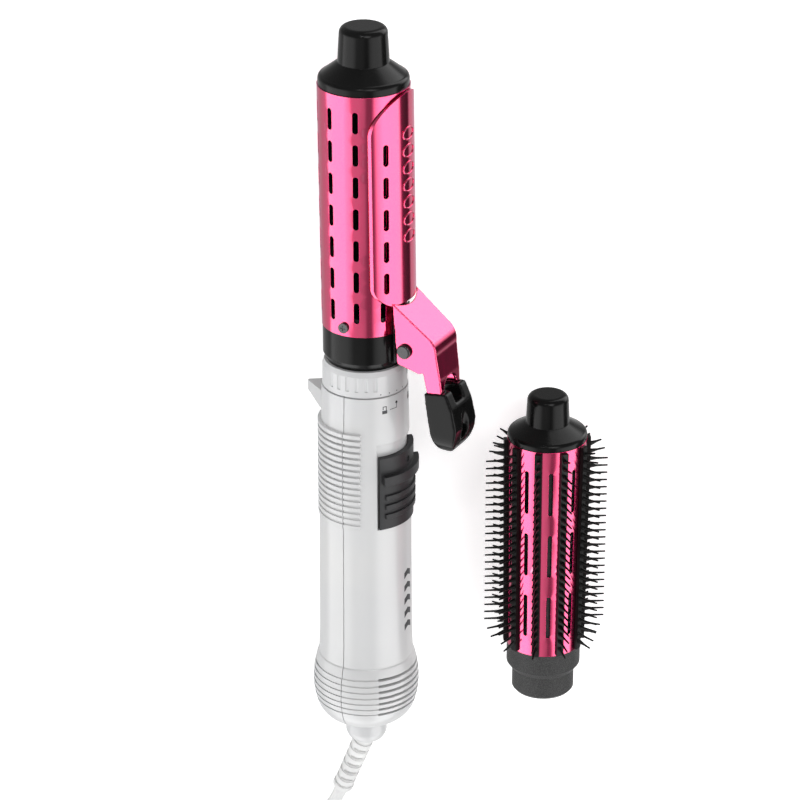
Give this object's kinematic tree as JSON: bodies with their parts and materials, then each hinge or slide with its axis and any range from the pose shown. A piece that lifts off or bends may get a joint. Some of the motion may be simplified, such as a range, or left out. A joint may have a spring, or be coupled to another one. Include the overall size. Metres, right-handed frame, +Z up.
{
  "type": "hot air styler set",
  "caption": "Corded hot-air styler handle with a clip curling barrel fitted and a loose round bristle brush attachment beside it.",
  "frame": {"origin": "on the table, under the middle of the box of the styler and brush, without the cord", "axes": "+Z up from the table; +Y along both axes towards the attachments' tips; +X from the styler to the loose brush"},
  "size_m": [0.1363, 0.4793, 0.0551],
  "materials": {
    "handle_shell": "glossy white moulding",
    "black_gloss": "glossy black moulding",
    "black_grained": "grained black moulding",
    "switch_black": "satin black moulding",
    "pink_metal": "pink anodised, polished",
    "bristle_nylon": "black nylon",
    "steel": "bright steel",
    "black_steel": "blackened steel",
    "heater_wire": "resistance wire",
    "mica": "mica sheet",
    "motor_steel": "plated steel",
    "inner_plastic": "heat-proof moulding",
    "circuit": "glass-epoxy board",
    "wire_cover": "insulated wire",
    "cord_white": "white flexible cover",
    "brass_blade": "plated brass",
    "screen_mesh": "woven screen"
  },
  "bodies": {
    "handle": {"front_shell": "handle_shell", "rear_shell": "handle_shell", "shell_screws": "steel", "nozzle_socket": "inner_plastic", "heater_shroud": "steel", "heater_former": "mica", "heater_coil": "heater_wire", "thermostat": "steel", "thermal_fuse": "steel", "motor_can": "motor_steel", "motor_mount": "inner_plastic", "rectifier_board": "circuit", "intake_filter": "screen_mesh", "switch_body": "switch_black", "internal_leads": "wire_cover", "swivel_bush": "inner_plastic", "cord_lead": "cord_white", "cord_coil": "cord_white", "cord_tie": "black_grained", "plug_body": "cord_white", "plug_blades": "brass_blade"},
    "fan": {"fan_impeller": "inner_plastic", "motor_shaft": "steel"},
    "switch": {"switch_slider": "switch_black"},
    "ring": {"lock_ring": "handle_shell"},
    "cord_swivel": {"swivel_cup": "handle_shell", "strain_relief": "cord_white"},
    "barrel": {"barrel_tube": "pink_metal", "barrel_cap": "black_gloss", "barrel_collar": "black_gloss", "barrel_screws": "black_steel", "barrel_spine": "black_grained", "clip_bracket": "black_steel", "pivot_pin": "black_steel", "clip_spring": "steel"},
    "clip": {"clip_plate": "pink_metal", "clip_lever": "pink_metal", "lever_tip": "black_gloss"},
    "brush": {"brush_tube": "pink_metal", "brush_cap": "black_gloss", "brush_collar": "black_grained", "brush_spine": "black_grained", "bristle_strip_1": "bristle_nylon", "bristle_strip_2": "bristle_nylon", "bristle_strip_3": "bristle_nylon", "bristle_strip_4": "bristle_nylon", "bristle_strip_5": "bristle_nylon", "bristle_strip_6": "bristle_nylon", "bristle_strip_7": "bristle_nylon", "bristle_strip_8": "bristle_nylon", "bristle_strip_9": "bristle_nylon", "bristle_strip_10": "bristle_nylon"}
  },
  "joints": [
    {"name": "fan_spin", "type": "hinge", "parent": "handle", "child": "fan", "pos_m": [-0.04039, -0.09225, 0.0235], "axis": [0, 1, 0], "continuous": true},
    {"name": "power_switch", "type": "slide", "parent": "handle", "child": "switch", "axis": [0, 1, 0], "range_m": [0, 0.0054]},
    {"name": "ring_lock", "type": "hinge", "parent": "handle", "child": "ring", "pos_m": [-0.04039, 0.01375, 0.0235], "axis": [0, -1, 0], "range_deg": [0, 35]},
    {"name": "cord_turn", "type": "hinge", "parent": "handle", "child": "cord_swivel", "pos_m": [-0.04039, -0.16025, 0.0235], "axis": [0, 1, 0], "continuous": true, "deforming": ["cord_lead"]},
    {"name": "barrel_pull", "type": "slide", "parent": "handle", "child": "barrel", "axis": [0, 1, 0], "range_m": [0, 0.04]},
    {"name": "clip_hinge", "type": "hinge", "parent": "barrel", "child": "clip", "pos_m": [-0.01876, 0.03115, 0.035], "axis": [0.4695, 0, -0.8829], "range_deg": [0, 20], "stiffness_Nm_per_rad": 0.3, "springref_deg": -28.65},
    {"name": "brush_lift", "type": "slide", "parent": "handle", "child": "brush", "axis": [0, 0, 1], "range_m": [0, 0.08]}
  ]
}
